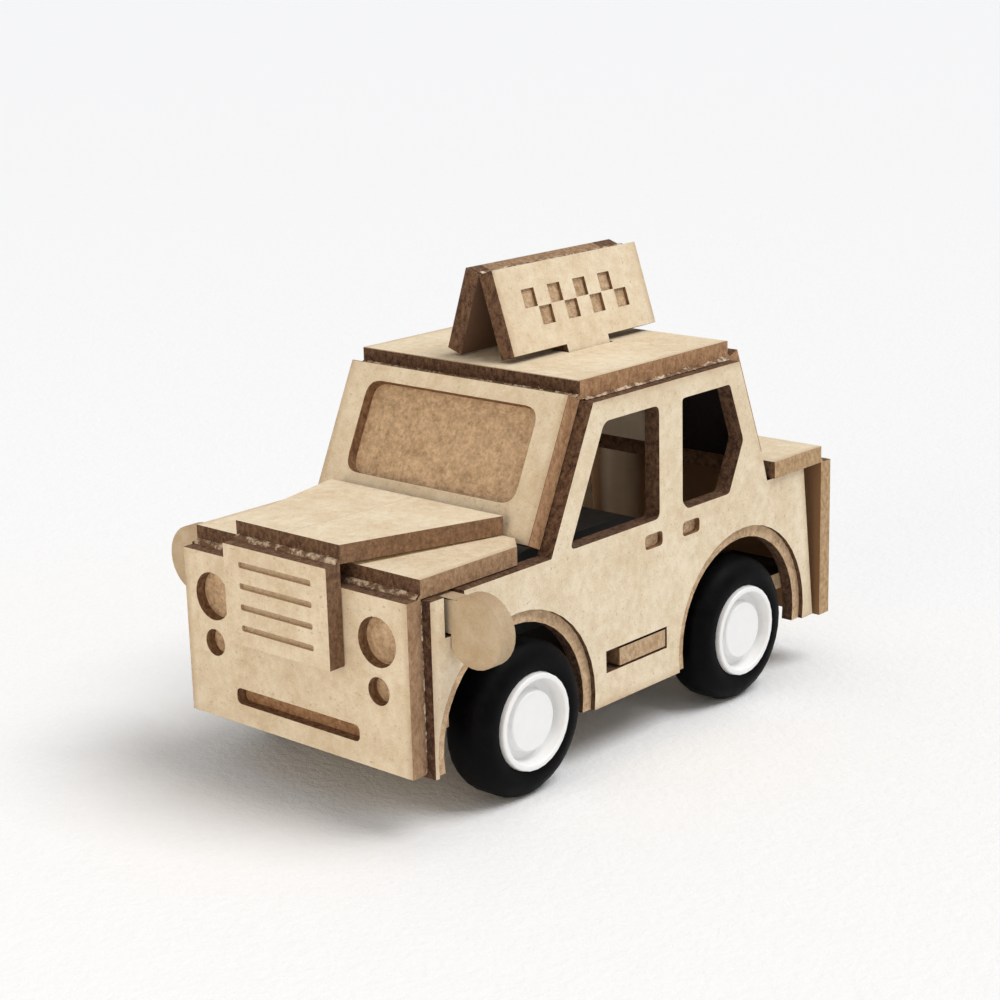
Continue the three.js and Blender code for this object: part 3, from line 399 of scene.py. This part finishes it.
def flat_planes(obj, least):
    """Planes of a piece that hold more than the least area in mm2, as (normal, offset in mm)."""
    found = {}
    for face in obj.data.polygons:
        offset = face.normal.dot(face.center) / MM
        key = tuple(round(c, 2) for c in face.normal) + (round(offset, 1),)
        total = found.setdefault(key, [0.0, Vector(), 0.0])
        total[0] += face.area
        total[1] += face.normal * face.area
        total[2] += offset * face.area
    return [(n / area, d / area) for area, n, d in found.values() if area > least * MM * MM]


def skin_planes(obj):
    """The card faces of a piece: large planes with another one card thickness behind."""
    large = flat_planes(obj, LEAST_FACE)
    return [
        (n, d)
        for n, d in large
        if any(n.dot(m) < OPPOSITE and abs(d + e - CARD) < CARD_SLACK for m, e in large)
    ]


def border_planes(obj, skin):
    """The straight cut edges that bound a piece: planes with the whole piece behind them."""
    places = [v.co / MM for v in obj.data.vertices]
    return [
        (n, d)
        for n, d in flat_planes(obj, LEAST_BORDER)
        if max(n.dot(p) for p in places) < d + BORDER_SLACK
        and all(abs(n.dot(m)) < ACROSS for m, _ in skin)
    ]


class CardShader(Shader):
    """Card with pale faces that are scorched beside the cut edges and carry painted shade inside the
    car, tan engraved floors and burnt cut edges.
    """

    def __init__(self, obj, look):
        super().__init__("card_" + obj.name)
        self.look = look
        self.planes = skin_planes(obj)
        self.borders = border_planes(obj, self.planes)
        self.x = self.axes(self.place)[0]
        self.blotches = self.noise(0.85, detail=4.0, rough=0.6)
        self.grain = self.noise(4.5, detail=4.0, rough=0.65)
        self.ragged = self.noise(2.0, detail=5.0, rough=0.72)
        self.streaks = self.noise(1.3, detail=4.0, rough=0.65, place=self.stretched(1.5, 1.5, 1.0))
        pits = self.noise(0.75, detail=3.0, rough=0.6)
        self.torn = self.math("MULTIPLY", self.ragged, 0.6)
        self.torn = self.math("ADD", self.torn, self.math("MULTIPLY", pits, 0.4))

        skin, floor, inner = self.regions()
        face = self.face_colour(inner)
        colour = self.mix(skin, self.edge_colour(face), face)
        self.set(base_color=self.mix(floor, colour, self.floor_colour()))
        self.set(roughness=0.88, specular_ior_level=0.2)

        face_height = self.math("MULTIPLY", self.math("ADD", self.grain, self.blotches), 0.3)
        edge_height = self.math("ADD", self.ragged, self.streaks)
        floor_height = self.math("MULTIPLY", self.torn, 5.0)
        height = self.blend(floor, self.blend(skin, edge_height, face_height), floor_height)
        self.bump(height, strength=0.75, distance=0.25)

    def regions(self):
        """1 on the card's faces, on its engraved floors, and on the faces that look into the car, where
        shade is painted.
        """
        skin = 0.0
        floor = 0.0
        inner = 0.0
        for normal, offset in self.planes:
            facing = self.math("GREATER_THAN", self.dot(self.normal, tuple(normal)), FACING)
            depth = self.depth(normal, offset)
            shallow = self.math("LESS_THAN", self.math("ABSOLUTE", depth), SKIN_DEPTH)
            on_skin = self.math("MULTIPLY", facing, shallow)
            on_floor = self.math("MULTIPLY", facing, self.between(depth, SKIN_DEPTH, FLOOR_DEPTH))
            skin = self.math("MAXIMUM", skin, on_skin)
            floor = self.math("MAXIMUM", floor, on_floor)
            if self.look.painted_shade and normal.dot(CAR_MIDDLE) > offset:
                inner = self.math("MAXIMUM", inner, on_skin)
        return skin, floor, inner

    def face_colour(self, inner):
        """Soft clouds, blotches, fine grain and a few darker flecks, scorched beside the cut edges, and
        painted shade on the faces that look into the car.
        """
        clouds = self.noise(0.2, detail=3.0, rough=0.6)
        tone = self.math("MULTIPLY", self.math("ADD", clouds, self.blotches), 0.35)
        tone = self.math("ADD", tone, self.math("MULTIPLY", self.grain, 0.3))
        face = self.mix(self.span(tone, 0.38, 0.6), *self.look.faces)
        fibres = self.noise(1.0, detail=3.0, rough=0.6, place=self.stretched(1.1, 3.2, 3.2))
        flecks = self.math("MULTIPLY", fibres, self.noise(2.6))
        face = self.mix(self.span(flecks, 0.34, 0.46, 0.0, 0.5), face, FLECK)

        near = 0.0
        for normal, offset in self.borders:
            beside = self.span(self.depth(normal, offset), 0.0, SCORCH_WIDTH, 1.0, 0.0)
            near = self.math("MAXIMUM", near, beside)
        scorched = self.math("MULTIPLY", near, self.span(self.blotches, *MIDDLE, 0.15, 0.75))
        face = self.mix(scorched, face, SCORCH)
        # painted shade on the faces that look into the car
        if self.look.painted_shade:
            face = self.mix(inner, face, self.painted_shade_colour())
        if self.look.crease:
            face = self.mix(self.crease(), face, SCORCH)
        return face

    def painted_shade_colour(self):
        painted_shade = self.look.painted_shade
        # painted shade: light to dark along X, and dark towards both ends where asked
        amount = self.span(self.x, painted_shade.start, painted_shade.stop)
        if painted_shade.dark_ends:
            ends = self.span(self.math("ABSOLUTE", self.x), *DARK_ENDS)
            amount = self.math("MAXIMUM", amount, ends)
        return self.mix(amount, painted_shade.light, painted_shade.dark)

    def crease(self):
        """Strength of a faint line along the middle of the faces that look up."""
        line = self.span(self.math("ABSOLUTE", self.x), *CREASE_FADE, 1.0, 0.0)
        upward = self.math("GREATER_THAN", self.dot(self.normal, (0, 0, 1)), UPWARD)
        strength = self.span(self.blotches, 0.35, 0.6, 0.05, 0.35)
        return self.math("MULTIPLY", self.math("MULTIPLY", line, upward), strength)

    def floor_colour(self):
        """Ragged fibres that the laser left in an engraving."""
        floor = self.mix(self.span(self.torn, 0.37, 0.61), RECESS_DARK, RECESS_LIGHT)
        tone = self.span(self.ragged, 0.34, 0.64)
        for box, tint in self.look.tinted:
            floor = self.mix(self.inside(box), floor, self.mix(tone, *tint))
        return floor

    def edge_colour(self, face):
        """Tan to burnt in streaks, by the way a cut edge faces, and tinted on an engraving's walls."""
        look = self.look
        tone = self.span(self.streaks, *MIDDLE)
        sideways = self.math("ABSOLUTE", self.axes(self.normal)[0])
        sideways = self.math("GREATER_THAN", sideways, SIDEWAYS)
        char = self.blend(sideways, look.char, look.side_char)
        for box, value in look.char_boxes:
            char = self.blend(self.inside(box), char, value)
        burnt = self.math("ADD", char, self.span(self.streaks, *MIDDLE, -0.22, 0.22))
        burnt = self.math("ADD", burnt, self.span(self.grain, *MIDDLE, -0.12, 0.12))
        edge = self.mix(self.span(burnt, 0.0, 1.0), EDGE_TAN, EDGE_BURNT)
        if look.side_tint:
            edge = self.mix(sideways, edge, self.mix(tone, *look.side_tint))
        edge = self.mix(look.pale, edge, face)
        for box, tint in look.engraved:
            edge = self.mix(self.inside(box), edge, self.mix(tone, *tint))
        return edge


def rubber_material():
    """Dull black rubber, dusty in places."""
    s = Shader("tyre_rubber")
    dust = s.noise(0.5, detail=4.0, rough=0.6)
    s.set(base_color=s.mix(s.span(dust, 0.4, 0.7), *RUBBER))
    s.set(roughness=s.span(dust, 0.35, 0.7, 0.45, 0.65), specular_ior_level=0.06)
    s.bump(s.noise(6.0, detail=3.0), strength=0.25, distance=0.05)
    return s.material


def plastic_material(name, colours, rough):
    """Moulded plastic with a faint unevenness."""
    s = Shader(name)
    wear = s.noise(0.7, detail=4.0, rough=0.6)
    s.set(base_color=s.mix(s.span(wear, *MIDDLE), *colours))
    s.set(roughness=s.span(wear, 0.3, 0.7, rough - 0.06, rough + 0.08))
    s.bump(s.noise(3.0), strength=0.12, distance=0.03)
    return s.material


def steel_material():
    """Drawn steel, with fine lines along the axles."""
    s = Shader("drawn_steel")
    lines = s.noise(4.0, detail=3.0, rough=0.6, place=s.stretched(0.08, 2.0, 2.0))
    s.set(base_color=s.mix(lines, *STEEL), metallic=1.0)
    s.set(roughness=s.span(lines, 0.3, 0.7, 0.28, 0.42))
    return s.material


def fibre_material():
    """Torn paper fibres, pale with burnt patches."""
    s = Shader("torn_fibres")
    patches = s.noise(0.75, detail=4.0, rough=0.7)
    s.set(base_color=s.mix(s.span(patches, 0.47, 0.60), FIBRE_BROWN, FIBRE_WHITE), roughness=0.95)
    s.bump(s.noise(9.0, detail=3.0), strength=0.5, distance=0.08)
    return s.material


def floor_material():
    """Matte white paper with a slight tooth."""
    s = Shader("studio_floor")
    tone = s.noise(0.25, detail=5.0, rough=0.6)
    s.set(base_color=s.mix(tone, *PAPER), roughness=0.9, specular_ior_level=0.1)
    s.bump(s.noise(0.9, detail=4.0, rough=0.65), strength=0.6, distance=0.3)
    return s.material


def smooth_group():
    """Geometry nodes that join a node's split corners and shade it smooth where it isn't sharp."""
    group = bpy.data.node_groups.new("joined_smooth", "GeometryNodeTree")
    group.interface.new_socket("Geometry", in_out="INPUT", socket_type="NodeSocketGeometry")
    group.interface.new_socket("Geometry", in_out="OUTPUT", socket_type="NodeSocketGeometry")
    group.is_modifier = True
    nodes, links = group.nodes, group.links
    start = nodes.new("NodeGroupInput")
    end = nodes.new("NodeGroupOutput")
    merge = nodes.new("GeometryNodeMergeByDistance")
    merge.inputs["Distance"].default_value = JOIN_DISTANCE * MM
    faces = nodes.new("GeometryNodeSetShadeSmooth")
    edges = nodes.new("GeometryNodeSetShadeSmooth")
    edges.domain = "EDGE"
    bend = nodes.new("GeometryNodeInputMeshEdgeAngle")
    compare = nodes.new("FunctionNodeCompare")
    compare.operation = "LESS_THAN"
    compare.inputs[1].default_value = SHARP_ANGLE
    links.new(start.outputs[0], merge.inputs["Geometry"])
    links.new(merge.outputs[0], faces.inputs["Geometry"])
    links.new(faces.outputs[0], edges.inputs["Geometry"])
    links.new(bend.outputs["Unsigned Angle"], compare.inputs[0])
    links.new(compare.outputs[0], edges.inputs["Shade Smooth"])
    links.new(edges.outputs[0], end.inputs[0])
    return group


def dress(names, material, group, bevel=None):
    """Gives CAD nodes a material, joined corners and, where asked, softened edges."""
    for name in names:
        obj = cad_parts[name]
        obj.data.materials.clear()
        obj.data.materials.append(material)
        obj.modifiers.new("joined", "NODES").node_group = group
        if bevel:
            soften = obj.modifiers.new("softened", "BEVEL")
            soften.width = bevel * MM
            soften.segments = BEVEL_SEGMENTS
            soften.limit_method = "ANGLE"
            soften.angle_limit = SHARP_ANGLE


def dress_nodes():
    group = smooth_group()
    for name, look in CARD_LOOKS.items():
        dress([name], CardShader(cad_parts[name], look).material, group, look.bevel)
    dress(RIMS, plastic_material("white_plastic", WHITE_PLASTIC, rough=0.36), group, RIM_BEVEL)
    dress(TYRES, rubber_material(), group)
    dress(STEEL_NODES, steel_material(), group)
    dress(BLACK_NODES, plastic_material("black_plastic", BLACK_PLASTIC, rough=0.5), group)
    dress(GEARS, plastic_material("gear_plastic", GEAR_PLASTIC, rough=0.45), group)


def add_object(name, data):
    obj = bpy.data.objects.new(name, data)
    bpy.context.scene.collection.objects.link(obj)
    return obj


def torn_strip(name, start, end, out, across, size, material, seed):
    """Torn fibres from start to end, as one mesh: a rough ridge, and loose tufts on it."""
    chance = random.Random(seed)
    width, height = size
    length = (end - start).length
    along = (end - start) / length
    points = []
    faces = []

    # Ridge: a lumpy band that fills the bottom of the notch
    steps = int(length / RIDGE_STEP)
    for i in range(steps + 1):
        for j in range(RIDGE_LANES):
            side = (j / (RIDGE_LANES - 1) - 0.5) * width
            place = start + along * (length * i / steps)
            lump = noise.noise(place * LUMPS + Vector((seed, j * LANE_SHIFT, 0))) * 0.5 + 0.5
            crown = 1 - (2 * j / (RIDGE_LANES - 1) - 1) ** 2
            rise = height * (RIDGE_BASE + RIDGE_RISE * crown * lump * lump)
            points.append(place + across * side + out * rise)
    for i in range(steps):
        for j in range(RIDGE_LANES - 1):
            a = i * RIDGE_LANES + j
            faces.append((a, a + 1, a + RIDGE_LANES + 1, a + RIDGE_LANES))

    # Tufts: thin tapered ribbons, bent over at random
    for _ in range(int(length * TUFTS)):
        base = start + along * chance.uniform(0, length)
        base += across * chance.uniform(-TUFT_SPREAD, TUFT_SPREAD) * width
        way = out * chance.uniform(*TUFT_RISE)
        way += along * chance.uniform(-TUFT_SWEEP, TUFT_SWEEP)
        way += across * chance.uniform(-TUFT_SWAY, TUFT_SWAY)
        way.normalize()
        reach = height * chance.uniform(*TUFT_REACH)
        twist = Vector((chance.uniform(-1, 1), chance.uniform(-1, 1), chance.uniform(-1, 1)))
        breadth = way.cross(twist).normalized() * chance.uniform(*TUFT_BREADTH)
        bend = along * chance.uniform(-TUFT_BEND, TUFT_BEND) * reach
        first = len(points)
        for k in range(TUFT_JOINTS):
            part = k / (TUFT_JOINTS - 1)
            middle = base + way * (reach * part) + bend * part * part
            points.append(middle - breadth * (1 - TUFT_TAPER * part))
            points.append(middle + breadth * (1 - TUFT_TAPER * part))
        for a in range(first, len(points) - 2, 2):
            faces.append((a, a + 1, a + 3, a + 2))

    mesh = bpy.data.meshes.new(name)
    mesh.from_pydata([p * MM for p in points], [], faces)
    mesh.materials.append(material)
    obj = add_object(name, mesh)
    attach(obj, "card_body")


def corners(name):
    """Lowest and highest corner of a CAD node, in mm."""
    low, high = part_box(name)
    return low / MM, high / MM


def vertices(name):
    """Places of a CAD node's vertices, in mm."""
    return [tuple(c / MM for c in v.co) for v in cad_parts[name].data.vertices]


def add_torn_fibres():
    """Fibres in every scored fold, and along the scored edges of the roof and the nose."""
    material = fibre_material()
    x_axis, y_axis, z_axis = Vector((1, 0, 0)), Vector((0, 1, 0)), Vector((0, 0, 1))
    sides = ((1, "left"), (-1, "right"))

    def fold(name, half, y, z, front, seed):
        """A fold along X whose inner corner is at (y, z), open towards front (-1 or 1) and up."""
        out = Vector((0, front, 1)).normalized()
        across = x_axis.cross(out)
        bottom = Vector((0, y, z)) + out * FOLD_SEAT
        reach = x_axis * (half - END_GAP)
        torn_strip(name, bottom - reach, bottom + reach, out, across, FOLD_STRIP, material, seed)

    low, high = corners("nose_and_wings")
    fold("fibres_nose_fold", high.x, low.y + CARD, high.z - CARD, front=-1, seed=11)
    for side, title in sides:
        x = side * (high.x - END_GAP)
        y = low.y + CARD + NOSE_SET_BACK
        foot = Vector((x, y, low.z + NOSE_FOOT_GAP))
        head = Vector((x, y, high.z - CARD - NOSE_HEAD_GAP))
        name = "fibres_nose_" + title
        torn_strip(name, foot, head, x_axis * side, y_axis, NOSE_STRIP, material, seed=20 + side)

    low, high = corners("bonnet_and_grille")
    front_half = max(x for x, y, z in vertices("bonnet_and_grille") if y < low.y + FRONT_SLACK)
    fold("fibres_bonnet_fold", front_half, low.y + CARD, high.z - CARD, front=-1, seed=31)

    low, high = corners("boot_and_tail")
    fold("fibres_boot_fold", high.x, high.y - CARD, high.z - CARD, front=1, seed=41)

    low, high = corners("roof_and_screens")
    top = [y for x, y, z in vertices("roof_and_screens") if z > high.z - TOP_SLACK]
    fold("fibres_roof_front", high.x, min(top), high.z - CARD, front=-1, seed=51)
    fold("fibres_roof_rear", high.x, max(top), high.z - CARD, front=1, seed=61)
    for side, title in sides:
        x = side * (high.x + ROOF_OVERHANG)
        z = high.z - CARD - ROOF_SINK
        front = Vector((x, min(top) + ROOF_END_GAP, z))
        rear = Vector((x, max(top) - ROOF_END_GAP, z))
        name = "fibres_roof_" + title
        torn_strip(name, front, rear, z_axis, x_axis, ROOF_STRIP, material, seed=70 + side)

    low, high = corners("roof_sign")
    ridge_z = high.z - CARD * math.sin(SIGN_LEAN) + SIGN_SEAT
    front = Vector((0, low.y + END_GAP, ridge_z))
    rear = Vector((0, high.y - END_GAP, ridge_z))
    torn_strip("fibres_sign_ridge", front, rear, z_axis, x_axis, SIGN_STRIP, material, seed=81)


def add_floor():
    half = FLOOR_HALF * MM
    mesh = bpy.data.meshes.new("studio_floor")
    outline = [(-half, -half, 0), (half, -half, 0), (half, half, 0), (-half, half, 0)]
    mesh.from_pydata(outline, [], [(0, 1, 2, 3)])
    mesh.materials.append(floor_material())
    floor = add_object("studio_floor", mesh)


def add_light(name, kind, way, power):
    """A light that shines along way."""
    light = add_object(name, bpy.data.lights.new(name, kind))
    light.rotation_euler = way.to_track_quat("-Z", "Y").to_euler()
    light.data.energy = power
    return light


def add_lights():
    fill = add_light("fill_front", "AREA", FILL_TARGET - FILL_PLACE, FILL_POWER)
    fill.location = FILL_PLACE * MM
    fill.data.shape = "DISK"
    fill.data.size = FILL_SIZE * MM
    fill.data.color = FILL_COLOUR
    window = add_light("window_light", "SUN", WINDOW_WAY, WINDOW_POWER)
    window.data.angle = WINDOW_SPREAD
    world = bpy.data.worlds.new("studio")
    world.use_nodes = True
    background = world.node_tree.nodes["Background"]
    background.inputs["Color"].default_value = (1, 1, 1, 1)
    background.inputs["Strength"].default_value = SKY
    bpy.context.scene.world = world
    bpy.context.scene.view_settings.view_transform = "Standard"


def add_camera():
    """The photograph's camera: seen from the front left corner, slightly above."""
    flat = math.cos(CAMERA_ELEVATION)
    sine, cosine = math.sin(CAMERA_AZIMUTH), math.cos(CAMERA_AZIMUTH)
    back = Vector((sine * flat, -cosine * flat, math.sin(CAMERA_ELEVATION)))
    level = Vector((cosine, sine, 0))
    upright = back.cross(level)
    right = level * math.cos(CAMERA_ROLL) + upright * math.sin(CAMERA_ROLL)
    up = upright * math.cos(CAMERA_ROLL) - level * math.sin(CAMERA_ROLL)
    data = bpy.data.cameras.new("photo_camera")
    data.sensor_width = CAMERA_SENSOR
    data.lens = CAMERA_LENS
    data.clip_start = CAMERA_CLIP * MM
    camera = add_object("photo_camera", data)
    place = CAMERA_TARGET * MM + back * (CAMERA_DISTANCE * MM)
    camera.matrix_world = Matrix.Translation(place) @ Matrix((right, up, back)).transposed().to_4x4()
    bpy.context.scene.camera = camera


dress_nodes()
add_torn_fibres()
add_floor()
add_lights()
add_camera()
